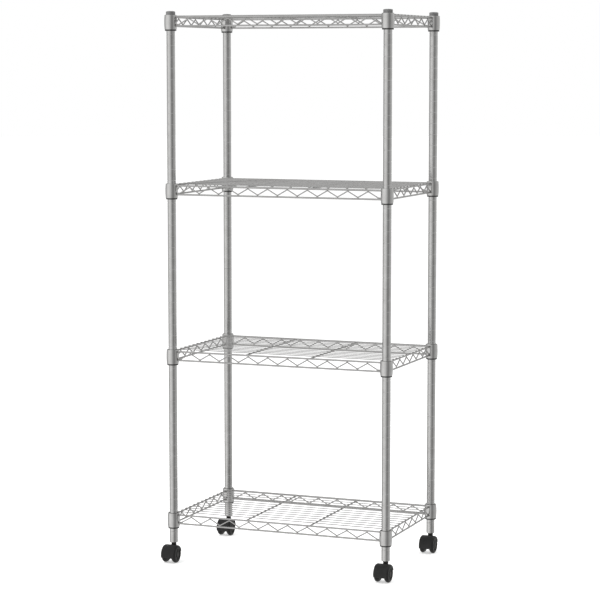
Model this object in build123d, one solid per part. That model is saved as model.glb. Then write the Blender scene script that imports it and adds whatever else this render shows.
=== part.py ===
from build123d import *
import os

# Wire shelving rack on twin-wheel casters. Millimetres, +Z up, front of the rack at -Y,
# origin on the floor under the middle of the rack.

# ---- Overall layout ----
POST_SPAN_X = 521.0  # post axis to post axis, width
POST_SPAN_Y = 315.0  # post axis to post axis, depth
GROOVE_PITCH = 25.4
SHELF_COUNT = 4
SHELF_STEP = 15 * GROOVE_PITCH
SECTION_PITCHES = 24  # groove pitches in one post section
SECTION_LENGTH = SECTION_PITCHES * GROOVE_PITCH
POST_FOOT_Z = 45.0

# ---- Posts ----
POST_R = 9.5
POST_BORE_R = 8.5
POST_END_CHAMFER = 0.5
GROOVE_DEPTH = 0.45
GROOVE_FLOOR = 0.5
GROOVE_MOUTH = 1.4
INSERT_R = POST_BORE_R - 0.05
CAP_R = 10.7
CAP_BORE_R = POST_R + 0.05
CAP_SKIRT = 7.8
CAP_CROWN = 1.4
CAP_PLUG_LENGTH = 6.0

# ---- Post joint and foot ----
JOINT_SOCKET_LENGTH = 28.0
JOINT_STUD_R = 4.95
JOINT_STUD_REACH = 20.0
JOINT_PLUG_LENGTH = 24.0
FOOT_INSERT_LENGTH = 26.0
THREAD_CLEARANCE = 0.05

# ---- Corner collars and clip sleeves, heights above the bottom of the sleeve ----
SHELF_BASE_Z = POST_FOOT_Z + 33.0  # bottom of the lowest clip sleeve
COLLAR_BOTTOM = 3.0
COLLAR_TOP = 36.0
COLLAR_END_R = 13.6
COLLAR_WAIST_R = 14.3
COLLAR_BORE_BOTTOM_R = 12.3
COLLAR_BORE_TOP_R = 11.7
COLLAR_EDGE = 0.6
SLEEVE_FIT = 0.05
SLEEVE_TOP = 35.0
SLEEVE_LIP_R = 12.9
SLEEVE_SLIT = 0.8
RIDGE_DEPTH = 0.35
RIDGE_HEIGHT = 0.7
RIDGE_HEIGHT_AT = 2 * GROOVE_PITCH - (SHELF_BASE_Z - POST_FOOT_Z)

# ---- Wire frame of a shelf ----
RAIL_R = 2.0
CROSS_BAR_R = 1.8
ZIGZAG_R = 1.4
ZIGZAG_BEND_R = 4.0
ZIGZAG_TAIL = 5.0  # straight end beside a collar
DECK_WIRE_R = 1.0
DECK_WIRE_COUNT = 13
DECK_WIRE_PITCH = POST_SPAN_Y / (DECK_WIRE_COUNT + 1)
TOP_RAIL_AT = 31.0
BOTTOM_RAIL_AT = 11.0
WELD_BITE = 0.15
END_BITE = 0.1  # of a rail's flat end into a round collar
CROSS_BAR_X = 78.0
LONG_WAVES = 10
SHORT_WAVES = 6

# ---- Casters ----
CASTER_TRAIL = 15.0  # swivel axis to axle
WHEEL_R = 19.5
TREAD_X = 13.0  # where the tread is lowest
TREAD_INNER_R = 7.5
TREAD_OUTER_R = 4.2
WHEEL_INNER_X = 5.6
WHEEL_OUTER_X = TREAD_X + TREAD_OUTER_R
DISH_DEPTH = 1.4
INNER_RECESS = 1.6
WHEEL_BOSS_X = 4.6
AXLE_R = 2.5
AXLE_HALF = 15.4
RUNNING_FIT = 0.05
WEB_HALF = 4.2
HOOD_GAP = 0.6
HOOD_WALL = 1.4
HOOD_EDGE_DEG = 45
HOOD_FRONT_DEG = -18
HOOD_BACK_DEG = 166
HUB_R = 10.0
SOCKET_R = 5.0
SOCKET_FLOOR_Z = 20.5
NECK_R = 5.7
NECK_BASE_R = 6.6
NECK_TOP_Z = POST_FOOT_Z - 4.0
NECK_LENGTH = 8.0
STEM_R = 4.0
STEM_LENGTH = 21.0
STEM_HEX = 11.0
STEM_PIN_R = 3.0
STEM_PIN_END_Z = 22.5
SWIVEL_GAP = 0.3

CORNERS = {
    "front_left": (-1, -1),
    "front_right": (1, -1),
    "back_right": (1, 1),
    "back_left": (-1, 1),
}


def corner_xy(name):
    side_x, side_y = CORNERS[name]
    return side_x * POST_SPAN_X / 2, side_y * POST_SPAN_Y / 2


def at_corners(shape, z=0.0):
    """Copies of a shape on all four post axes."""
    return [Pos(*corner_xy(name), z) * shape for name in CORNERS]


def turned(points):
    """A solid of revolution about Z from (radius, height) points."""
    outline = Polyline(*[(r, 0, z) for r, z in points], close=True)
    return revolve(make_face(outline), Axis.Z)


# ---- Posts and what is fitted to them ----
def post_section():
    points = [(POST_BORE_R, 0), (POST_R - POST_END_CHAMFER, 0), (POST_R, POST_END_CHAMFER)]
    for k in range(1, SECTION_PITCHES):
        z = k * GROOVE_PITCH
        points.append((POST_R, z - GROOVE_MOUTH / 2))
        points.append((POST_R - GROOVE_DEPTH, z - GROOVE_FLOOR / 2))
        points.append((POST_R - GROOVE_DEPTH, z + GROOVE_FLOOR / 2))
        points.append((POST_R, z + GROOVE_MOUTH / 2))
    points.append((POST_R, SECTION_LENGTH - POST_END_CHAMFER))
    points.append((POST_R - POST_END_CHAMFER, SECTION_LENGTH))
    points.append((POST_BORE_R, SECTION_LENGTH))
    return turned(points)


def post_cap():
    """Skirted cap with a low domed crown and a short plug inside the tube, from the post's end."""
    skirt = Pos(0, 0, -CAP_SKIRT) * Cylinder(CAP_R, CAP_SKIRT, align=(Align.CENTER, Align.CENTER, Align.MIN))
    rise = CAP_CROWN
    dome_r = (CAP_R**2 + rise**2) / (2 * rise)
    dome = Pos(0, 0, rise - dome_r) * Sphere(dome_r)
    crown = dome & Cylinder(CAP_R, rise, align=(Align.CENTER, Align.CENTER, Align.MIN))
    tube_room = Cylinder(CAP_BORE_R, CAP_SKIRT, align=(Align.CENTER, Align.CENTER, Align.MAX))
    plug = Cylinder(INSERT_R, CAP_PLUG_LENGTH, align=(Align.CENTER, Align.CENTER, Align.MAX))
    hollow = Cylinder(INSERT_R - 1.2, CAP_PLUG_LENGTH, align=(Align.CENTER, Align.CENTER, Align.MAX))
    return skirt + crown - tube_room + (plug - hollow)


def joint_socket():
    """Threaded insert pressed into the top of a lower post section, top face at z = 0."""
    body = Cylinder(INSERT_R, JOINT_SOCKET_LENGTH, align=(Align.CENTER, Align.CENTER, Align.MAX))
    return body - Cylinder(JOINT_STUD_R + THREAD_CLEARANCE, 2 * JOINT_SOCKET_LENGTH)


def joint_stud():
    """Plug in the bottom of an upper post section with the stud that screws into the socket."""
    plug = Cylinder(INSERT_R, JOINT_PLUG_LENGTH, align=(Align.CENTER, Align.CENTER, Align.MIN))
    stud = Cylinder(JOINT_STUD_R, JOINT_STUD_REACH, align=(Align.CENTER, Align.CENTER, Align.MAX))
    return plug + chamfer(stud.edges().group_by(Axis.Z)[0], 0.8)


def foot_insert():
    body = Cylinder(INSERT_R, FOOT_INSERT_LENGTH, align=(Align.CENTER, Align.CENTER, Align.MIN))
    return body - Cylinder(STEM_R + THREAD_CLEARANCE, 2 * FOOT_INSERT_LENGTH)


# ---- Collars and sleeves ----
def collar_radius(height):
    """Outer radius of the barrel-shaped collar at a height above the sleeve's bottom."""
    middle = (COLLAR_BOTTOM + COLLAR_TOP) / 2
    t = (height - middle) / (COLLAR_TOP - middle)
    return COLLAR_WAIST_R - (COLLAR_WAIST_R - COLLAR_END_R) * t * t


def corner_collar():
    middle = (COLLAR_BOTTOM + COLLAR_TOP) / 2
    low = (COLLAR_END_R, 0, COLLAR_BOTTOM + COLLAR_EDGE)
    high = (COLLAR_END_R, 0, COLLAR_TOP - COLLAR_EDGE)
    bore_low = (COLLAR_BORE_BOTTOM_R, 0, COLLAR_BOTTOM)
    bore_high = (COLLAR_BORE_TOP_R, 0, COLLAR_TOP)
    barrel = ThreePointArc(low, (COLLAR_WAIST_R, 0, middle), high)
    rest = Polyline(
        high,
        (COLLAR_END_R - COLLAR_EDGE, 0, COLLAR_TOP),
        bore_high,
        bore_low,
        (COLLAR_END_R - COLLAR_EDGE, 0, COLLAR_BOTTOM),
        low,
    )
    return revolve(make_face(barrel + rest), Axis.Z)


def sleeve_halves():
    """Tapered two-part sleeve: a ridge inside sits in a post groove and a lip shows below the collar."""
    bore = POST_R + SLEEVE_FIT
    low_r = COLLAR_BORE_BOTTOM_R - SLEEVE_FIT
    high_r = COLLAR_BORE_TOP_R - SLEEVE_FIT
    whole = turned(
        [
            (bore, 0),
            (SLEEVE_LIP_R - COLLAR_EDGE, 0),
            (SLEEVE_LIP_R, COLLAR_EDGE),
            (SLEEVE_LIP_R, COLLAR_BOTTOM - SLEEVE_FIT),
            (low_r, COLLAR_BOTTOM - SLEEVE_FIT),
            (high_r, SLEEVE_TOP),
            (bore, SLEEVE_TOP),
            (bore, RIDGE_HEIGHT_AT + RIDGE_HEIGHT),
            (bore - RIDGE_DEPTH, RIDGE_HEIGHT_AT + RIDGE_HEIGHT / 4),
            (bore - RIDGE_DEPTH, RIDGE_HEIGHT_AT - RIDGE_HEIGHT / 4),
            (bore, RIDGE_HEIGHT_AT - RIDGE_HEIGHT),
        ]
    )
    slit = Box(3 * SLEEVE_LIP_R, SLEEVE_SLIT, 3 * COLLAR_TOP)
    return (whole - slit).solids()


# ---- Wire frame ----
def rod(start, end, radius):
    line = Line(start, end)
    return sweep(Plane(line @ 0, z_dir=line % 0) * Circle(radius), line)


def zigzag(along, fixed, reach, waves, base_z):
    """One bent wire between a truss's rails. along is X or Y, fixed the other coordinate."""
    low = base_z + BOTTOM_RAIL_AT + RAIL_R + ZIGZAG_R - WELD_BITE
    high = base_z + TOP_RAIL_AT - RAIL_R - ZIGZAG_R + WELD_BITE
    step = (reach - ZIGZAG_TAIL) / waves
    marks = [(-reach, low)]
    for k in range(2 * waves + 1):
        marks.append((-reach + ZIGZAG_TAIL + k * step, low if k % 2 == 0 else high))
    marks.append((reach, low))
    points = [(s, fixed, z) if along == "X" else (fixed, s, z) for s, z in marks]
    path = FilletPolyline(*points, radius=ZIGZAG_BEND_R)
    return sweep(Plane(path @ 0, z_dir=path % 0) * Circle(ZIGZAG_R), path)


def truss(along, fixed, rail_reach, wave_reach, waves, base_z):
    """Top rail, bottom rail and zigzag wire. rail_reach gives half a rail's length from its height."""
    pieces = []
    for height in (TOP_RAIL_AT, BOTTOM_RAIL_AT):
        reach = rail_reach(height)
        z = base_z + height
        ends = [(s, fixed, z) if along == "X" else (fixed, s, z) for s in (-reach, reach)]
        pieces.append(rod(*ends, RAIL_R))
    pieces.append(zigzag(along, fixed, wave_reach, waves, base_z))
    return pieces


def long_trusses(base_z):
    def reach(height):
        return POST_SPAN_X / 2 - collar_radius(height) + END_BITE

    wave_reach = POST_SPAN_X / 2 - COLLAR_WAIST_R - ZIGZAG_R
    pieces = []
    for side in (-1, 1):
        y = side * POST_SPAN_Y / 2
        pieces += truss("X", y, reach, wave_reach, LONG_WAVES, base_z)
    return pieces


def side_trusses(base_z):
    def reach(height):
        return POST_SPAN_Y / 2 - collar_radius(height) + END_BITE

    wave_reach = POST_SPAN_Y / 2 - COLLAR_WAIST_R - ZIGZAG_R
    pieces = []
    for side in (-1, 1):
        x = side * POST_SPAN_X / 2
        pieces += truss("Y", x, reach, wave_reach, SHORT_WAVES, base_z)
    return pieces


def cross_bars(base_z):
    """Two bars from the front top rail to the back one, under the deck wires."""
    z = base_z + TOP_RAIL_AT + RAIL_R - CROSS_BAR_R
    reach = POST_SPAN_Y / 2 - RAIL_R + WELD_BITE
    return [rod((x, -reach, z), (x, reach, z), CROSS_BAR_R) for x in (-CROSS_BAR_X, CROSS_BAR_X)]


def deck_wires(base_z):
    """Wires across the width, lying on the side rails and on the cross bars."""
    z = base_z + TOP_RAIL_AT + RAIL_R + DECK_WIRE_R - WELD_BITE
    half = POST_SPAN_X / 2 + RAIL_R
    first = -(DECK_WIRE_COUNT - 1) / 2
    wires = []
    for k in range(DECK_WIRE_COUNT):
        y = (first + k) * DECK_WIRE_PITCH
        wires.append(rod((-half, y, z), (half, y, z), DECK_WIRE_R))
    return wires


# ---- Casters, modelled about their own swivel axis with the axle towards the front ----
def axle_spot(x, radius):
    """A point straight above the axle line, from the wheels' own x and radius."""
    return (x, -CASTER_TRAIL, WHEEL_R + radius)


def around_axle(outline):
    return revolve(make_face(outline), Axis(axle_spot(0, 0), (1, 0, 0)))


def caster_stem():
    """Threaded stem with a hexagonal shoulder under the post and a plain pin for the hood's socket."""
    shoulder = extrude(RegularPolygon(STEM_HEX / 2, 6, major_radius=False), POST_FOOT_Z - NECK_TOP_Z - SWIVEL_GAP)
    shoulder = Pos(0, 0, NECK_TOP_Z + SWIVEL_GAP) * shoulder
    thread = Pos(0, 0, POST_FOOT_Z) * Cylinder(STEM_R, STEM_LENGTH, align=(Align.CENTER, Align.CENTER, Align.MIN))
    pin_length = NECK_TOP_Z + SWIVEL_GAP - STEM_PIN_END_Z
    pin = Pos(0, 0, STEM_PIN_END_Z) * Cylinder(STEM_PIN_R, pin_length, align=(Align.CENTER, Align.CENTER, Align.MIN))
    return shoulder + chamfer(thread.edges().group_by(Axis.Z)[-1], 0.8) + pin


def hood_shell():
    """Cover that follows the two treads and is open below."""
    mid_r = WHEEL_R - TREAD_OUTER_R
    inner = TREAD_OUTER_R + HOOD_GAP
    outer = inner + HOOD_WALL

    def spot(radius, degrees):
        v = Vector(radius, 0).rotate(Axis.Z, degrees)
        return axle_spot(TREAD_X + v.X, mid_r + v.Y)

    half_way = (90 + HOOD_EDGE_DEG) / 2
    outer_arc = ThreePointArc(spot(outer, 90), spot(outer, half_way), spot(outer, HOOD_EDGE_DEG))
    inner_arc = ThreePointArc(spot(inner, HOOD_EDGE_DEG), spot(inner, half_way), spot(inner, 90))
    edge = Line(spot(outer, HOOD_EDGE_DEG), spot(inner, HOOD_EDGE_DEG))
    top = Polyline(spot(inner, 90), axle_spot(0, mid_r + inner), axle_spot(0, mid_r + outer), spot(outer, 90))
    half = around_axle(outer_arc + edge + inner_arc + top)
    ring = half + mirror(half, Plane.YZ)
    reach = 2 * WHEEL_R
    front = Vector(-reach, 0).rotate(Axis.Z, -HOOD_FRONT_DEG)
    rear = Vector(-reach, 0).rotate(Axis.Z, -HOOD_BACK_DEG)
    sector = Plane.YZ * make_face(
        Polyline((0, 0), (front.X, front.Y), (-reach, reach), (reach, reach), (rear.X, rear.Y), close=True)
    )
    return ring & Pos(*axle_spot(0, 0)) * extrude(sector, 2 * WHEEL_OUTER_X, both=True)


def hood_web():
    """Plate between the wheels round a hub, with the swivel socket and neck at its back."""
    hood_r = WHEEL_R + HOOD_GAP + HOOD_WALL / 2
    front = Vector(-hood_r, 0).rotate(Axis.Z, -HOOD_FRONT_DEG)
    rear = Vector(-hood_r, 0).rotate(Axis.Z, -HOOD_BACK_DEG)
    plate = make_face(ThreePointArc(front, (0, hood_r), rear) + Polyline(rear, (0, -HUB_R / 2), front))
    plate = Pos(*axle_spot(0, 0)) * extrude(Plane.YZ * plate, WEB_HALF, both=True)
    hub = Pos(*axle_spot(0, 0)) * Rot(0, 90, 0) * Cylinder(HUB_R, 2 * WEB_HALF)
    standing = (Align.CENTER, Align.CENTER, Align.MIN)
    socket = Pos(0, 0, SOCKET_FLOOR_Z) * Cylinder(SOCKET_R, NECK_TOP_Z - SOCKET_FLOOR_Z, align=standing)
    neck = Pos(0, 0, NECK_TOP_Z - NECK_LENGTH) * Cone(NECK_BASE_R, NECK_R, NECK_LENGTH, align=standing)
    return plate + hub + socket + neck


def caster_hood():
    pin_room = Pos(0, 0, STEM_PIN_END_Z - SWIVEL_GAP) * Cylinder(
        STEM_PIN_R + RUNNING_FIT, WHEEL_R * 2, align=(Align.CENTER, Align.CENTER, Align.MIN)
    )
    axle_room = Pos(*axle_spot(0, 0)) * Rot(0, 90, 0) * Cylinder(AXLE_R, 4 * WEB_HALF)
    return hood_web() + hood_shell() - pin_room - axle_room


def caster_axle():
    return Pos(*axle_spot(0, 0)) * Rot(0, 90, 0) * Cylinder(AXLE_R, 2 * AXLE_HALF)


def caster_wheel(side):
    """Dished wheel with a rounded tread and a blind bore, side +1 towards +X."""
    bore = AXLE_R + RUNNING_FIT

    def spot(x, radius):
        return axle_spot(side * x, radius)

    def on_inner_arc(x):
        return spot(x, WHEEL_R - TREAD_INNER_R + (TREAD_INNER_R**2 - (x - TREAD_X) ** 2) ** 0.5)

    def on_outer_arc(x):
        return spot(x, rim_r + (TREAD_OUTER_R**2 - (x - TREAD_X) ** 2) ** 0.5)

    rim_r = WHEEL_R - TREAD_OUTER_R
    inner_edge = on_inner_arc(WHEEL_INNER_X)
    inner_r = inner_edge[2] - WHEEL_R
    lowest = spot(TREAD_X, WHEEL_R)
    tread_inside = ThreePointArc(inner_edge, on_inner_arc((WHEEL_INNER_X + TREAD_X) / 2), lowest)
    tread_outside = ThreePointArc(lowest, on_outer_arc(TREAD_X + 0.7 * TREAD_OUTER_R), spot(WHEEL_OUTER_X, rim_r))
    dish_x = WHEEL_OUTER_X - DISH_DEPTH
    rest = Polyline(
        spot(WHEEL_OUTER_X, rim_r),
        spot(WHEEL_OUTER_X, rim_r - 2.0),
        spot(dish_x, rim_r - 3.0),
        spot(dish_x, 7.0),
        spot(WHEEL_OUTER_X - 0.4, 6.0),
        spot(WHEEL_OUTER_X - 0.4, 0),
        spot(AXLE_HALF + SWIVEL_GAP, 0),
        spot(AXLE_HALF + SWIVEL_GAP, bore),
        spot(WHEEL_BOSS_X, bore),
        spot(WHEEL_BOSS_X, bore + 2.2),
        spot(WHEEL_INNER_X + INNER_RECESS, bore + 2.6),
        spot(WHEEL_INNER_X + INNER_RECESS, inner_r - 2.4),
        spot(WHEEL_INNER_X, inner_r - 1.6),
        inner_edge,
    )
    return around_axle(tread_inside + tread_outside + rest)


# ---- Writing the nodes ----
def write(node, shapes):
    """One node from one solid or from a list of separate solids."""
    if isinstance(shapes, list):
        shapes = Compound(children=shapes)
    export_step(shapes, f"parts/{node}.step")


def write_posts():
    section = post_section()
    cap = post_cap()
    for name in CORNERS:
        x, y = corner_xy(name)
        write(f"post_lower_{name}", Pos(x, y, POST_FOOT_Z) * section)
        write(f"post_upper_{name}", Pos(x, y, POST_FOOT_Z + SECTION_LENGTH) * section)
        write(f"post_cap_{name}", Pos(x, y, POST_FOOT_Z + 2 * SECTION_LENGTH) * cap)
    write("post_joint_sockets", at_corners(joint_socket(), POST_FOOT_Z + SECTION_LENGTH))
    write("post_joint_studs", at_corners(joint_stud(), POST_FOOT_Z + SECTION_LENGTH))
    write("post_foot_inserts", at_corners(foot_insert(), POST_FOOT_Z))


def write_shelves():
    collar = corner_collar()
    halves = sleeve_halves()
    for level in range(SHELF_COUNT):
        shelf = f"shelf_{level + 1}"
        base_z = SHELF_BASE_Z + level * SHELF_STEP
        write(f"{shelf}_corner_collars", at_corners(collar, base_z))
        sleeves = [copy for half in halves for copy in at_corners(half, base_z)]
        write(f"{shelf}_clip_sleeves", sleeves)
        write(f"{shelf}_long_trusses", long_trusses(base_z))
        write(f"{shelf}_side_trusses", side_trusses(base_z))
        write(f"{shelf}_cross_bars", cross_bars(base_z))
        write(f"{shelf}_deck_wires", deck_wires(base_z))


def write_casters():
    hood = caster_hood()
    axle = caster_axle()
    wheels = {"left": caster_wheel(-1), "right": caster_wheel(1)}
    write("caster_stems", at_corners(caster_stem()))
    for name in CORNERS:
        place = Pos(*corner_xy(name), 0)
        write(f"caster_{name}_hood", place * hood)
        write(f"caster_{name}_axle", place * axle)
        for side, wheel in wheels.items():
            write(f"caster_{name}_wheel_{side}", place * wheel)


os.makedirs("parts", exist_ok=True)
write_posts()
write_shelves()
write_casters()
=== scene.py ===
import math

import bmesh
import bpy
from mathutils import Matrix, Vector


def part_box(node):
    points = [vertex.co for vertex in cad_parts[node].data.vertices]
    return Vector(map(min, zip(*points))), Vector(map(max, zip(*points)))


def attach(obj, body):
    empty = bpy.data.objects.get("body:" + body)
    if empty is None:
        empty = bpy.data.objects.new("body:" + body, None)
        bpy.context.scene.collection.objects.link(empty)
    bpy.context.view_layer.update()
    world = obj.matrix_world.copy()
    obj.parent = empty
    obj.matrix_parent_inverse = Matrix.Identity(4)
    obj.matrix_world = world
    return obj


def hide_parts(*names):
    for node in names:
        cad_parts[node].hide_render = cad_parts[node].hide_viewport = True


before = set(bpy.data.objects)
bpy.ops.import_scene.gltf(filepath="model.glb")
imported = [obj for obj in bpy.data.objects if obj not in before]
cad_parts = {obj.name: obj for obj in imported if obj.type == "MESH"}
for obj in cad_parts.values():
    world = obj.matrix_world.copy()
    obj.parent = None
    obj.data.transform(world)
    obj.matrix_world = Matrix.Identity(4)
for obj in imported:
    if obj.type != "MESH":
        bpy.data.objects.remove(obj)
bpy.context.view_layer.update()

MM = 0.001
X, Y, Z = Vector((1, 0, 0)), Vector((0, 1, 0)), Vector((0, 0, 1))
CORNERS = ("front_left", "front_right", "back_right", "back_left")
LEVELS = (1, 2, 3, 4)

# The camera stands in front of the rack and to its right, a little below its top.
VIEW_AZIMUTH = math.radians(21.87)
VIEW_ELEVATION = math.radians(6.2)
VIEW_DISTANCE = 5.015
VIEW_LENS = 130.0
AIM = Vector((-0.0074, -0.003, 0.6036))


# ---- Measures ----
def corners_of(node):
    low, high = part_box(node)
    return Vector(low), Vector(high)


def centre_of(node):
    low, high = corners_of(node)
    return (low + high) / 2


def half_size(node):
    low, high = corners_of(node)
    return (high - low) / 2


POST_AXIS = {name: centre_of(f"post_lower_{name}") for name in CORNERS}
SPAN_X = POST_AXIS["front_right"].x - POST_AXIS["front_left"].x
SPAN_Y = POST_AXIS["back_left"].y - POST_AXIS["front_left"].y
POST_R = half_size("post_lower_front_left").x
SLIDING_FIT = 0.05 * MM
GROOVES = 24  # pitches in one post section
GROOVE_DEPTH = 0.45 * MM
GROOVE_HALF = 0.95 * MM
CAP_CROWN = 1.4 * MM
RAIL_R = half_size("shelf_1_long_trusses").y - SPAN_Y / 2
CROSS_BAR_R = half_size("shelf_1_cross_bars").z
CROSS_X = half_size("shelf_1_cross_bars").x - CROSS_BAR_R
ZIGZAG_R = 1.4 * MM
ZIGZAG_BEND = 4.0 * MM
ZIGZAG_TAIL = 5.0 * MM
WELD_BITE = 0.15 * MM
LONG_WAVES = 10
SHORT_WAVES = 6
DECK_WIRES = 13
DECK_R = half_size("shelf_1_deck_wires").z
COLLAR_BORE = 11.9 * MM
COLLAR_END_R = 13.6 * MM
SLEEVE_LIP_R = 12.9 * MM
SLEEVE_LIP_HEIGHT = 2.95 * MM
SLEEVE_SLIT = 0.8 * MM
AXLE = {name: centre_of(f"caster_{name}_axle") for name in CORNERS}
WHEEL_R = half_size("caster_front_left_wheel_left").z
TREAD_X = 13.0 * MM
TREAD_INNER_R = 7.5 * MM
TREAD_OUTER_R = 4.2 * MM
WHEEL_BORE = 2.55 * MM
HOOD_GAP = 0.6 * MM
HOOD_WALL = 1.4 * MM
HOOD_EDGE_DEG = 45  # where the cover ends, from the wheels' axis
HOOD_SPAN_DEG = (14, 198)  # from behind the wheels over their top to below the axle in front
WEB_HALF = 4.2 * MM
HUB_R = 10.0 * MM
WHEEL_INNER = 5.6 * MM
WHEEL_OUTER = 17.2 * MM


# ---- Mesh work ----
class Shape:
    """The vertices, faces and material numbers of one piece while it is put together."""

    def __init__(self):
        self.verts = []
        self.faces = []
        self.finish = []

    def skin(self, rings, finish=0, around=True, along=False):
        """Quads between rings. around closes each ring, along joins the last ring to the first."""
        base = len(self.verts)
        count = len(rings[0])
        for ring in rings:
            self.verts.extend(ring)
        for i in range(len(rings) if along else len(rings) - 1):
            a, b = i * count, (i + 1) % len(rings) * count
            for j in range(count if around else count - 1):
                k = (j + 1) % count
                self.faces.append((base + a + j, base + a + k, base + b + k, base + b + j))
                self.finish.append(finish)
        if not along:
            self.lid(range(base, base + count), finish)
            self.lid(range(base + (len(rings) - 1) * count, base + len(rings) * count), finish)
        if not around:
            self.lid([base + i * count for i in range(len(rings))], finish)
            self.lid([base + i * count + count - 1 for i in range(len(rings))], finish)

    def lid(self, corners, finish):
        self.faces.append(tuple(corners))
        self.finish.append(finish)

    def mesh(self, name, crease=32):
        mesh = bpy.data.meshes.new(name)
        mesh.from_pydata([tuple(v) for v in self.verts], [], self.faces)
        mesh.polygons.foreach_set("material_index", self.finish)
        work = bmesh.new()
        work.from_mesh(mesh)
        bmesh.ops.remove_doubles(work, verts=work.verts, dist=1e-7)
        bmesh.ops.dissolve_degenerate(work, edges=work.edges, dist=1e-7)
        bmesh.ops.recalc_face_normals(work, faces=work.faces)
        work.to_mesh(mesh)
        work.free()
        mesh.shade_smooth()
        mesh.set_sharp_from_angle(angle=math.radians(crease))
        return mesh


def rounded(points, radius, steps=3, closed=True):
    """The same outline with each corner eased, in two or three dimensions."""
    points = [Vector(p) for p in points]
    out = []
    for i, corner in enumerate(points):
        if not closed and i in (0, len(points) - 1):
            out.append(corner)
            continue
        before, after = points[i - 1] - corner, points[(i + 1) % len(points)] - corner
        turn = math.pi - before.angle(after)
        ease = min(radius * math.tan(turn / 2), 0.45 * before.length, 0.45 * after.length)
        start, end = corner + before.normalized() * ease, corner + after.normalized() * ease
        for k in range(steps + 1):
            t = k / steps
            out.append(start * (1 - t) ** 2 + corner * 2 * t * (1 - t) + end * t * t)
    return out


def spin_ring(origin, axis, radius, height, angles):
    """Points round a line through origin. axis Z counts angles from X, axis X from Y."""
    if axis is Z:
        return [origin + Vector((radius * math.cos(a), radius * math.sin(a), height)) for a in angles]
    return [origin + Vector((height, radius * math.cos(a), radius * math.sin(a))) for a in angles]


def turn(shape, origin, axis, profile, sides=64, span=None, finish=0):
    """A closed (radius, height) outline turned about an axis, fully or between two angles in degrees."""
    if span is None:
        angles = [2 * math.pi * k / sides for k in range(sides)]
    else:
        first, last = (math.radians(a) for a in span)
        angles = [first + (last - first) * k / (sides - 1) for k in range(sides)]
    rings = [spin_ring(origin, axis, r, h, angles) for r, h in profile]
    shape.skin(rings, finish, around=span is None, along=True)


def tube(shape, path, radius, normal, sides=12, finish=0):
    """A round wire along a flat path, with eased ends. normal is square to the path's plane."""
    first, last = (path[1] - path[0]).normalized(), (path[-1] - path[-2]).normalized()
    ease = 0.3 * radius
    spots = [(path[0], first, 0.72), (path[0] + first * ease, first, 1.0)]
    for before, here, after in zip(path, path[1:], path[2:]):
        spots.append((here, (after - before).normalized(), 1.0))
    spots += [(path[-1] - last * ease, last, 1.0), (path[-1], last, 0.72)]
    rings = []
    for here, way, scale in spots:
        side = way.cross(normal)
        ring = []
        for k in range(sides):
            a = 2 * math.pi * k / sides
            ring.append(here + (normal * math.cos(a) + side * math.sin(a)) * radius * scale)
        rings.append(ring)
    shape.skin(rings, finish)


def bead(shape, centre, size, finish=1, sides=10, bands=6):
    """A small weld bead: a squashed ball of half sizes size."""
    rings = []
    for i in range(bands + 1):
        a = math.pi * (i + 0.02) / (bands + 0.04)
        ring = []
        for k in range(sides):
            b = 2 * math.pi * k / sides
            ring.append(centre + Vector((
                size[0] * math.sin(a) * math.cos(b),
                size[1] * math.sin(a) * math.sin(b),
                size[2] * math.cos(a),
            )))
        rings.append(ring)
    shape.skin(rings, finish)


def place(shape, name, materials, body, nodes, crease=32):
    """Makes the piece, which rides on a body and stands for CAD nodes."""
    piece = bpy.data.objects.new(name, shape.mesh(name, crease))
    bpy.context.collection.objects.link(piece)
    for material in materials:
        piece.data.materials.append(material)
    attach(piece, body)
    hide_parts(*nodes)
    return piece


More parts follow.
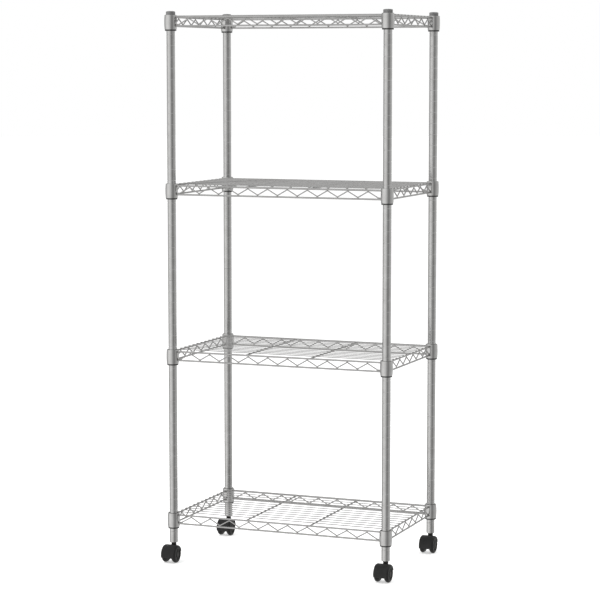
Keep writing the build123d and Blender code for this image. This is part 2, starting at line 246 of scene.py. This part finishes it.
# ---- Materials ----
class Paint:
    """A Principled material with helpers for patterned colour, roughness and relief."""

    def __init__(self, name, metallic=0.0, **plain):
        self.material = bpy.data.materials.new(name)
        self.material.use_nodes = True
        self.tree = self.material.node_tree
        self.shader = self.tree.nodes["Principled BSDF"]
        self.shader.inputs["Metallic"].default_value = metallic
        for socket, value in plain.items():
            self.shader.inputs[socket.replace("_", " ")].default_value = value
        self.where = self.tree.nodes.new("ShaderNodeTexCoord").outputs["Object"]

    def noise(self, scale, stretch=(1, 1, 1), detail=4.0, roughness=0.55):
        mapping = self.tree.nodes.new("ShaderNodeMapping")
        mapping.inputs["Scale"].default_value = [scale * s for s in stretch]
        noise = self.tree.nodes.new("ShaderNodeTexNoise")
        noise.inputs["Scale"].default_value = 1.0
        noise.inputs["Detail"].default_value = detail
        noise.inputs["Roughness"].default_value = roughness
        self.tree.links.new(self.where, mapping.inputs["Vector"])
        self.tree.links.new(mapping.outputs["Vector"], noise.inputs["Vector"])
        return noise.outputs["Fac"]

    def ramp(self, value, low, high, start=0.35, end=0.65):
        node = self.tree.nodes.new("ShaderNodeValToRGB")
        node.color_ramp.elements[0].position = start
        node.color_ramp.elements[1].position = end
        node.color_ramp.elements[0].color = (*low, 1)
        node.color_ramp.elements[1].color = (*high, 1)
        self.tree.links.new(value, node.inputs["Fac"])
        return node.outputs["Color"]

    def spread(self, value, low, high, start=0.3, end=0.7):
        node = self.tree.nodes.new("ShaderNodeMapRange")
        for socket, number in (("From Min", start), ("From Max", end), ("To Min", low), ("To Max", high)):
            node.inputs[socket].default_value = number
        self.tree.links.new(value, node.inputs["Value"])
        return node.outputs["Result"]

    def colour(self, value):
        self.tree.links.new(value, self.shader.inputs["Base Color"])
        return self

    def roughness(self, value):
        self.tree.links.new(value, self.shader.inputs["Roughness"])
        return self

    def relief(self, value, height, strength=1.0):
        bump = self.tree.nodes.new("ShaderNodeBump")
        bump.inputs["Distance"].default_value = height
        bump.inputs["Strength"].default_value = strength
        self.tree.links.new(value, bump.inputs["Height"])
        previous = self.shader.inputs["Normal"].links
        if previous:
            self.tree.links.new(previous[0].from_socket, bump.inputs["Normal"])
        self.tree.links.new(bump.outputs["Normal"], self.shader.inputs["Normal"])
        return self


def grey(level, warm=0.0):
    return (level + warm, level, level - warm)


def plated(name, tone, smooth, dull, stretch, grain=900.0):
    """Bright plating: faint cloudy tone, fine drawn lines along the metal and small pits."""
    paint = Paint(name, metallic=1.0)
    clouds = paint.noise(55.0, detail=3.0)
    drawn = paint.noise(grain, stretch, detail=5.0)
    pits = paint.noise(2600.0, detail=2.0)
    paint.colour(paint.ramp(clouds, grey(tone * 0.93, 0.004), grey(tone * 1.04, 0.002)))
    paint.roughness(paint.spread(drawn, smooth, dull))
    paint.relief(drawn, 0.000012, 0.35)
    paint.relief(paint.spread(pits, 0.0, 1.0, 0.28, 0.4), 0.000006, 0.3)
    return paint.material


def weld_material():
    """Heat-dulled plating on the weld beads."""
    paint = Paint("weld_bead", metallic=1.0)
    lumps = paint.noise(1500.0, detail=4.0)
    paint.colour(paint.ramp(lumps, grey(0.34, 0.006), grey(0.52, 0.004)))
    paint.roughness(paint.spread(lumps, 0.26, 0.46))
    paint.relief(lumps, 0.00005, 0.6)
    return paint.material


def moulded(name, tone, smooth, dull, grain=2200.0, height=0.00002, **plain):
    """Moulded plastic: fine spark-eroded grain, faint flow marks and handling scuffs."""
    paint = Paint(name, **plain)
    flow = paint.noise(120.0, (1, 1, 0.35), detail=3.0)
    fine = paint.noise(grain, detail=3.0)
    scuffs = paint.noise(420.0, (1, 1, 3.0), detail=6.0, roughness=0.7)
    paint.colour(paint.ramp(flow, grey(tone * 0.85), grey(tone * 1.2)))
    paint.roughness(paint.spread(scuffs, smooth, dull, 0.4, 0.66))
    paint.relief(fine, height, 0.5)
    return paint.material


def make_materials():
    return {
        "post": plated("post_plating", 0.56, 0.12, 0.22, (1, 1, 0.02)),
        "long_wire": plated("wire_plating_lengthwise", 0.45, 0.13, 0.24, (0.02, 1, 1)),
        "side_wire": plated("wire_plating_crosswise", 0.45, 0.13, 0.24, (1, 0.02, 1)),
        "collar": plated("collar_plating", 0.58, 0.07, 0.15, (1, 1, 0.05)),
        "zinc": plated("zinc_plating", 0.50, 0.30, 0.45, (1, 1, 0.3), 700.0),
        "oxide": plated("black_oxide", 0.06, 0.28, 0.42, (1, 1, 0.3), 700.0),
        "weld": weld_material(),
        "cap": moulded("cap_plastic", 0.15, 0.28, 0.42),
        "sleeve": moulded("sleeve_plastic", 0.028, 0.36, 0.52),
        "hood": moulded("caster_hood_plastic", 0.010, 0.34, 0.50, Specular_IOR_Level=0.32),
        "wheel": moulded(
            "caster_wheel_plastic", 0.009, 0.38, 0.58, height=0.00003, Specular_IOR_Level=0.32
        ),
    }


# ---- Posts and caps ----
def groove_profile(low, high):
    """Radius and height of a tube wall with soft rolled grooves, from its bottom to its top."""
    wall, ease, shoulder = 1.0 * MM, 0.5 * MM, 0.2 * MM
    pitch = (high - low) / GROOVES
    end = [(POST_R - wall, 0), (POST_R - ease, 0), (POST_R - 0.3 * ease, 0.3 * ease)]
    end += [(POST_R, ease), (POST_R, ease + shoulder)]
    outline = [(r, low + h) for r, h in end]
    for k in range(1, GROOVES):
        middle = low + k * pitch
        outline.append((POST_R, middle - GROOVE_HALF - shoulder))
        for step in range(-4, 5):
            depth = GROOVE_DEPTH * (1 + math.cos(math.pi * step / 4)) / 2
            outline.append((POST_R - depth, middle + GROOVE_HALF * step / 4))
        outline.append((POST_R, middle + GROOVE_HALF + shoulder))
    return outline + [(r, high - h) for r, h in reversed(end)]


def make_post(section, corner, paint):
    node = f"post_{section}_{corner}"
    low, high = corners_of(node)
    shape = Shape()
    axis = Vector((POST_AXIS[corner].x, POST_AXIS[corner].y, 0))
    turn(shape, axis, Z, groove_profile(low.z, high.z), sides=56)
    place(shape, f"{section}_post_{corner}", [paint["post"]], "root", [node], crease=50)


def make_cap(corner, paint):
    """Skirted cap with a raised brim at the bottom and a low crown."""
    node = f"post_cap_{corner}"
    low, high = corners_of(node)
    radius = half_size(node).x
    bore, step = POST_R + SLIDING_FIT, 0.2 * MM
    under = high.z - CAP_CROWN
    shoulder_z = under - 0.6 * MM
    brim = [
        (bore, low.z), (radius, low.z), (radius, low.z + 1.2 * MM), (radius - step, low.z + 1.5 * MM),
        (radius - step, shoulder_z),
    ]
    rise = high.z - under + 0.6 * MM
    crown = []
    for k in range(1, 9):
        a = math.pi / 2 * k / 8
        crown.append(((radius - step) * math.cos(a) ** 0.75, shoulder_z + rise * math.sin(a)))
    inside = [(0.0, under), (bore, under)]
    shape = Shape()
    axis = Vector((POST_AXIS[corner].x, POST_AXIS[corner].y, 0))
    turn(shape, axis, Z, rounded(brim, 0.3 * MM, closed=False) + crown + inside, sides=56)
    place(shape, f"cap_{corner}", [paint["cap"]], "root", [node])


# ---- Shelves ----
def collar_profile(low, high, waist_r):
    """Barrel with rolled rims outside and a tapered bore inside."""
    height = high - low
    wall = []
    for k in range(13):
        t = 2 * k / 12 - 1
        wall.append((waist_r - (waist_r - COLLAR_END_R) * t * t, low + height * (k + 0.35) / 12.7))
    bore_low, bore_high = COLLAR_BORE + 0.4 * MM, COLLAR_BORE - 0.2 * MM
    shoulder_r, crest_r = COLLAR_END_R - 0.35 * MM, COLLAR_END_R - 1.0 * MM
    rim_high = [(shoulder_r, high - 0.1 * MM), (crest_r, high), (bore_high, high - 0.3 * MM)]
    rim_low = [(bore_low, low + 0.3 * MM), (crest_r, low), (shoulder_r, low + 0.1 * MM)]
    return wall + rim_high + rim_low


def rail_heights(level):
    low, high = corners_of(f"shelf_{level}_long_trusses")
    return low.z + RAIL_R, high.z - RAIL_R


def make_collars(level, paint):
    node = f"shelf_{level}_corner_collars"
    low, high = corners_of(node)
    waist_r = half_size(node).x - SPAN_X / 2
    shape = Shape()
    for corner in CORNERS:
        axis = Vector((POST_AXIS[corner].x, POST_AXIS[corner].y, 0))
        turn(shape, axis, Z, collar_profile(low.z, high.z, waist_r), sides=60)
        inward_x = -math.copysign(1, axis.x)
        inward_y = -math.copysign(1, axis.y)
        reach = waist_r - 0.4 * MM
        deep, wide = 1.5 * MM, RAIL_R + 0.9 * MM
        for z in rail_heights(level):
            spot = axis + Z * z
            bead(shape, spot + X * inward_x * reach, (deep, wide, wide))
            bead(shape, spot + Y * inward_y * reach, (wide, deep, wide))
    finishes = [paint["collar"], paint["weld"]]
    place(shape, f"shelf_{level}_collars", finishes, "root", [node], crease=40)


def make_sleeves(level, paint):
    """Both halves of the clip sleeve on each post, with the lip that shows under the collar."""
    node = f"shelf_{level}_clip_sleeves"
    low, high = corners_of(node)
    bore = POST_R + SLIDING_FIT
    lip_top = low.z + SLEEVE_LIP_HEIGHT
    outline = [
        (bore, low.z), (SLEEVE_LIP_R, low.z), (SLEEVE_LIP_R, lip_top), (COLLAR_BORE + 0.3 * MM, lip_top),
        (COLLAR_BORE - 0.3 * MM, high.z), (bore, high.z),
    ]
    slit_deg = math.degrees(SLEEVE_SLIT / 2 / bore)
    shape = Shape()
    for corner in CORNERS:
        axis = Vector((POST_AXIS[corner].x, POST_AXIS[corner].y, 0))
        for start in (0, 180):
            span = (start + slit_deg, start + 180 - slit_deg)
            turn(shape, axis, Z, rounded(outline, 0.35 * MM), sides=28, span=span)
    place(shape, f"shelf_{level}_sleeves", [paint["sleeve"]], "root", [node])


def make_truss(shape, along, across, fixed, rail_reach, wave_reach, waves, heights):
    """Two rails and a zigzag wire in a plane square to across, with weld beads at the bends."""
    low, high = heights
    base = across * fixed
    for z in heights:
        ends = [base + along * s + Z * z for s in (-rail_reach, rail_reach)]
        tube(shape, ends, RAIL_R, across, sides=16)
    bottom = low + RAIL_R + ZIGZAG_R - WELD_BITE
    top = high - RAIL_R - ZIGZAG_R + WELD_BITE
    step = (wave_reach - ZIGZAG_TAIL) / waves
    size = (Vector((1.1, 1.1, 0.8)) + Vector(abs(c) for c in along) * 1.2) * MM
    knots = [base - along * wave_reach + Z * bottom]
    for k in range(2 * waves + 1):
        z, rail_side = (bottom, -1) if k % 2 == 0 else (top, 1)
        knot = base + along * (k * step + ZIGZAG_TAIL - wave_reach) + Z * z
        knots.append(knot)
        bead(shape, knot + Z * rail_side * (ZIGZAG_R - 0.1 * MM), size)
    knots.append(base + along * wave_reach + Z * bottom)
    tube(shape, rounded(knots, ZIGZAG_BEND, steps=5, closed=False), ZIGZAG_R, across)


def make_trusses(level, paint):
    heights = rail_heights(level)
    clear = half_size(f"shelf_{level}_corner_collars").x - SPAN_X / 2 + ZIGZAG_R

    node = f"shelf_{level}_long_trusses"
    shape = Shape()
    for side in (-1, 1):
        reach = half_size(node).x
        make_truss(shape, X, Y, side * SPAN_Y / 2, reach, SPAN_X / 2 - clear, LONG_WAVES, heights)
    finishes = [paint["long_wire"], paint["weld"]]
    place(shape, f"shelf_{level}_front_back_trusses", finishes, "root", [node])

    node = f"shelf_{level}_side_trusses"
    shape = Shape()
    for side in (-1, 1):
        reach = half_size(node).y
        make_truss(shape, Y, X, side * SPAN_X / 2, reach, SPAN_Y / 2 - clear, SHORT_WAVES, heights)
    finishes = [paint["side_wire"], paint["weld"]]
    place(shape, f"shelf_{level}_left_right_trusses", finishes, "root", [node])


def make_cross_bars(level, paint):
    """Two bars under the deck wires, welded to the front and back top rails."""
    node = f"shelf_{level}_cross_bars"
    z, reach = centre_of(node).z, half_size(node).y
    shape = Shape()
    for x in (-CROSS_X, CROSS_X):
        tube(shape, [Vector((x, -reach, z)), Vector((x, reach, z))], CROSS_BAR_R, X, sides=16)
        for end in (-1, 1):
            bead(shape, Vector((x, end * (reach - 0.5 * MM), z)), Vector((2.6, 1.2, 1.5)) * MM)
    finishes = [paint["side_wire"], paint["weld"]]
    place(shape, f"shelf_{level}_cross_bars", finishes, "root", [node])


def make_deck(level, paint):
    """Wires across the width, each with a weld bead on every rail that it crosses."""
    node = f"shelf_{level}_deck_wires"
    low, high = corners_of(node)
    z = high.z - DECK_R
    first, last = low.y + DECK_R, high.y - DECK_R
    shape = Shape()
    for k in range(DECK_WIRES):
        y = first + (last - first) * k / (DECK_WIRES - 1)
        tube(shape, [Vector((low.x, y, z)), Vector((high.x, y, z))], DECK_R, Y, sides=12)
        for x in (-SPAN_X / 2, -CROSS_X, CROSS_X, SPAN_X / 2):
            bead(shape, Vector((x, y, z - DECK_R)), Vector((1.5, 1.7, 0.8)) * MM)
    finishes = [paint["long_wire"], paint["weld"]]
    place(shape, f"shelf_{level}_deck", finishes, "root", [node])


# ---- Casters ----
def section_arc(radius, first, last, steps=10):
    """(radius, x) points of an arc round the tread's middle, with its radius counted from there."""
    angles = [math.radians(first + (last - first) * k / steps) for k in range(steps + 1)]
    return [(radius * math.sin(a), TREAD_X + radius * math.cos(a)) for a in angles]


def tread_points():
    """(radius, x) points of the rounded tread, from the wheel's inner edge to its outer one."""
    first = math.degrees(math.acos((WHEEL_INNER - TREAD_X) / TREAD_INNER_R))
    inside = [(WHEEL_R - TREAD_INNER_R + r, x) for r, x in section_arc(TREAD_INNER_R, first, 90)]
    outside = [(WHEEL_R - TREAD_OUTER_R + r, x) for r, x in section_arc(TREAD_OUTER_R, 90, 0)]
    return inside + outside[1:]


def hood_outline():
    """(radius, x) outline of the thin cover across both treads."""
    mid = WHEEL_R - TREAD_OUTER_R
    inner_r = TREAD_OUTER_R + HOOD_GAP
    outer = [(mid + r, x) for r, x in section_arc(inner_r + HOOD_WALL, 90, HOOD_EDGE_DEG)]
    inner = [(mid + r, x) for r, x in section_arc(inner_r, HOOD_EDGE_DEG, 90)]
    mirrored = [(r, -x) for r, x in reversed(outer + inner)]
    return outer + inner + mirrored


def make_hood(corner, paint):
    """Cover, web round the hub, and the swivel socket with its neck."""
    node = f"caster_{corner}_hood"
    low, high = corners_of(node)
    axle = AXLE[corner]
    shape = Shape()
    turn(shape, axle, X, rounded(hood_outline(), 0.3 * MM, steps=2), sides=44, span=HOOD_SPAN_DEG)

    ease = 0.5 * MM
    web_r = WHEEL_R + 1.3 * MM
    tangent = math.degrees(math.acos(HUB_R / web_r))
    back, front = HOOD_SPAN_DEG
    arcs = ((web_r, back, front, 36), (HUB_R, front + tangent, back + 360 - tangent, 12))
    outline = []
    for radius, first, last, steps in arcs:
        for k in range(steps + 1):
            a = math.radians(first + (last - first) * k / steps)
            outline.append(Vector((0, radius * math.cos(a), radius * math.sin(a))))
    rings = []
    for x, shrink in ((-WEB_HALF, ease), (-WEB_HALF + ease, 0), (WEB_HALF - ease, 0), (WEB_HALF, ease)):
        rings.append([axle + p * (1 - shrink / web_r) + X * x for p in outline])
    shape.skin(rings)

    stem = Vector((POST_AXIS[corner].x, POST_AXIS[corner].y, 0))
    bore, socket_r, neck_r, base_r = 3.05 * MM, 5.0 * MM, 5.7 * MM, 6.6 * MM
    neck_z, floor_z, bottom_z = high.z - 8.0 * MM, 22.2 * MM, 20.5 * MM
    wall = [
        (bore, floor_z), (bore, high.z), (neck_r, high.z), (base_r, neck_z),
        (socket_r, neck_z - 1.0 * MM), (socket_r, bottom_z),
    ]
    floor = [(0.0, bottom_z), (0.0, floor_z)]
    turn(shape, stem, Z, rounded(wall, 0.5 * MM, closed=False) + floor, sides=40)
    name = f"{corner}_caster_hood"
    place(shape, name, [paint["hood"]], f"swivel_{corner}", [node], crease=45)


def make_wheel(corner, side, paint):
    """Dished wheel with a rounded tread, a hub cap and six ribs."""
    name = "left" if side < 0 else "right"
    node = f"caster_{corner}_wheel_{name}"
    axle = AXLE[corner]
    tread = tread_points()
    rim_r, inner_r = tread[-1][0], tread[0][0]
    dish_x = WHEEL_OUTER - 1.4 * MM
    hub_x = WHEEL_OUTER - 0.4 * MM
    axle_x = 15.7 * MM
    boss_x = 4.6 * MM
    recess_x = WHEEL_INNER + 1.6 * MM
    face = [
        (rim_r, WHEEL_OUTER), (rim_r - 2.0 * MM, WHEEL_OUTER), (rim_r - 3.0 * MM, dish_x),
        (7.0 * MM, dish_x), (6.0 * MM, hub_x), (0.0, hub_x),
    ]
    inside = [
        (0.0, axle_x), (WHEEL_BORE, axle_x), (WHEEL_BORE, boss_x), (WHEEL_BORE + 2.2 * MM, boss_x),
        (WHEEL_BORE + 2.6 * MM, recess_x), (inner_r - 2.4 * MM, recess_x),
        (inner_r - 1.6 * MM, WHEEL_INNER), (inner_r, WHEEL_INNER),
    ]
    eased_face = rounded(face, 0.5 * MM, closed=False)
    eased_inside = rounded(inside, 0.4 * MM, closed=False)
    outline = tread[:-1] + eased_face + eased_inside[:-1]
    shape = Shape()
    turn(shape, axle, X, [(r, side * x) for r, x in outline], sides=64)
    for k in range(6):
        a = math.pi / 6 + k * math.pi / 3
        ray = Vector((0, math.cos(a), math.sin(a)))
        ends = [axle + X * side * dish_x + ray * r for r in (5.6 * MM, rim_r - 2.2 * MM)]
        tube(shape, ends, 0.8 * MM, X, sides=10)
    body = f"wheel_{corner}_{name}"
    place(shape, f"{corner}_caster_wheel_{name}", [paint["wheel"]], body, [node])


def keep_cad(paint):
    """Inner parts keep their CAD meshes and get a finished surface."""
    finishes = {"post_joint_sockets": "zinc", "post_joint_studs": "zinc", "post_foot_inserts": "zinc"}
    finishes["caster_stems"] = "oxide"
    finishes.update({f"caster_{corner}_axle": "zinc" for corner in CORNERS})
    for node, finish in finishes.items():
        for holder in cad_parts[node].material_slots:
            holder.material = paint[finish]


# ---- Studio ----
def make_world():
    """Soft white room, bright on the camera's left, with a dim gap on the near side and on the far side."""
    world = bpy.data.worlds.new("studio")
    bpy.context.scene.world = world
    world.use_nodes = True
    tree = world.node_tree
    new, link = tree.nodes.new, tree.links.new
    background = tree.nodes["Background"]
    way = new("ShaderNodeTexCoord").outputs["Generated"]

    def along(direction):
        node = new("ShaderNodeVectorMath")
        node.operation = "DOT_PRODUCT"
        node.inputs[1].default_value = direction
        link(way, node.inputs[0])
        return node.outputs["Value"]

    ahead = (math.sin(VIEW_AZIMUTH), -math.cos(VIEW_AZIMUTH), 0)
    right = (math.cos(VIEW_AZIMUTH), math.sin(VIEW_AZIMUTH), 0)
    turn_angle = new("ShaderNodeMath")
    turn_angle.operation = "ARCTAN2"
    link(along(right), turn_angle.inputs[0])
    link(along(ahead), turn_angle.inputs[1])
    spread = new("ShaderNodeMapRange")
    spread.inputs["From Min"].default_value = -math.pi
    spread.inputs["From Max"].default_value = math.pi
    link(turn_angle.outputs["Value"], spread.inputs["Value"])
    ring = new("ShaderNodeValToRGB")
    ring.color_ramp.interpolation = "EASE"
    stops = (  # degrees from the camera's own side, counted to its right, and brightness
        (-180, 0.62), (-160, 0.34), (-142, 0.32), (-118, 0.65), (-80, 1.0), (-60, 1.05), (-28, 0.9),
        (0, 0.52), (20, 0.3), (38, 0.3), (64, 0.52), (120, 0.7), (180, 0.62),
    )
    elements = ring.color_ramp.elements
    while len(elements) < len(stops):
        elements.new(0.5)
    for element, (degrees, level) in zip(elements, stops):
        element.position = (degrees + 180) / 360
        element.color = (level, level, level * 0.99, 1)
    link(spread.outputs["Result"], ring.inputs["Fac"])
    height = new("ShaderNodeMapRange")
    height.inputs["From Min"].default_value = 0.45
    height.inputs["From Max"].default_value = 0.85
    link(along((0, 0, 1)), height.inputs["Value"])
    ceiling = new("ShaderNodeMix")
    ceiling.data_type = "RGBA"
    ceiling.inputs["B"].default_value = (0.75, 0.75, 0.75, 1)
    link(height.outputs["Result"], ceiling.inputs["Factor"])
    link(ring.outputs["Color"], ceiling.inputs["A"])
    paper = new("ShaderNodeMix")
    paper.data_type = "RGBA"
    paper.inputs["B"].default_value = (1, 1, 1, 1)
    link(new("ShaderNodeLightPath").outputs["Is Camera Ray"], paper.inputs["Factor"])
    link(ceiling.outputs["Result"], paper.inputs["A"])
    link(paper.outputs["Result"], background.inputs["Color"])


def make_light(name, azimuth, elevation, distance, size, power):
    """A soft square lamp that shines at the middle of the rack and doesn't show in reflections."""
    data = bpy.data.lights.new(name, "AREA")
    data.shape = "RECTANGLE"
    data.size, data.size_y = size
    data.energy = power
    lamp = bpy.data.objects.new(name, data)
    bpy.context.collection.objects.link(lamp)
    a, e = math.radians(azimuth), math.radians(elevation)
    back = Vector((math.sin(a) * math.cos(e), -math.cos(a) * math.cos(e), math.sin(e)))
    lamp.location = AIM + back * distance
    lamp.rotation_euler = (-back).to_track_quat("-Z", "Y").to_euler()
    lamp.visible_camera = False
    lamp.visible_glossy = False


def make_floor():
    """Pale paper floor, a wide disc with a faint tooth, left out of reflections."""
    reach, sides = 30.0, 96
    shape = Shape()
    shape.verts = spin_ring(Vector(), Z, reach, 0, [2 * math.pi * k / sides for k in range(sides)])
    shape.lid(range(sides), 0)
    floor = bpy.data.objects.new("floor", shape.mesh("floor"))
    bpy.context.collection.objects.link(floor)
    paint = Paint("paper", Roughness=0.9)
    tooth = paint.noise(220.0)
    paint.colour(paint.ramp(tooth, grey(0.90), grey(0.93)))
    paint.shader.inputs["Emission Color"].default_value = (1, 1, 1, 1)
    paint.shader.inputs["Emission Strength"].default_value = 0.44
    floor.data.materials.append(paint.material)
    floor.visible_glossy = False


def make_camera():
    data = bpy.data.cameras.new("camera")
    data.lens = VIEW_LENS
    data.clip_end = 100.0
    camera = bpy.data.objects.new("camera", data)
    bpy.context.collection.objects.link(camera)
    a, e = VIEW_AZIMUTH, VIEW_ELEVATION
    back = Vector((math.sin(a) * math.cos(e), -math.cos(a) * math.cos(e), math.sin(e)))
    camera.location = AIM + back * VIEW_DISTANCE
    camera.rotation_euler = (-back).to_track_quat("-Z", "Y").to_euler()
    bpy.context.scene.camera = camera


# ---- Everything ----
bpy.context.scene.view_settings.view_transform = "Standard"
make_camera()
make_world()
make_light("key", -40, 48, 4.5, (2.4, 2.4), 95)
make_light("fill", 150, 40, 4.5, (2.4, 2.4), 50)
make_floor()

paints = make_materials()
for corner_name in CORNERS:
    for section_name in ("lower", "upper"):
        make_post(section_name, corner_name, paints)
    make_cap(corner_name, paints)
    make_hood(corner_name, paints)
    for wheel_side in (-1, 1):
        make_wheel(corner_name, wheel_side, paints)
for shelf_level in LEVELS:
    make_collars(shelf_level, paints)
    make_sleeves(shelf_level, paints)
    make_trusses(shelf_level, paints)
    make_cross_bars(shelf_level, paints)
    make_deck(shelf_level, paints)
keep_cad(paints)
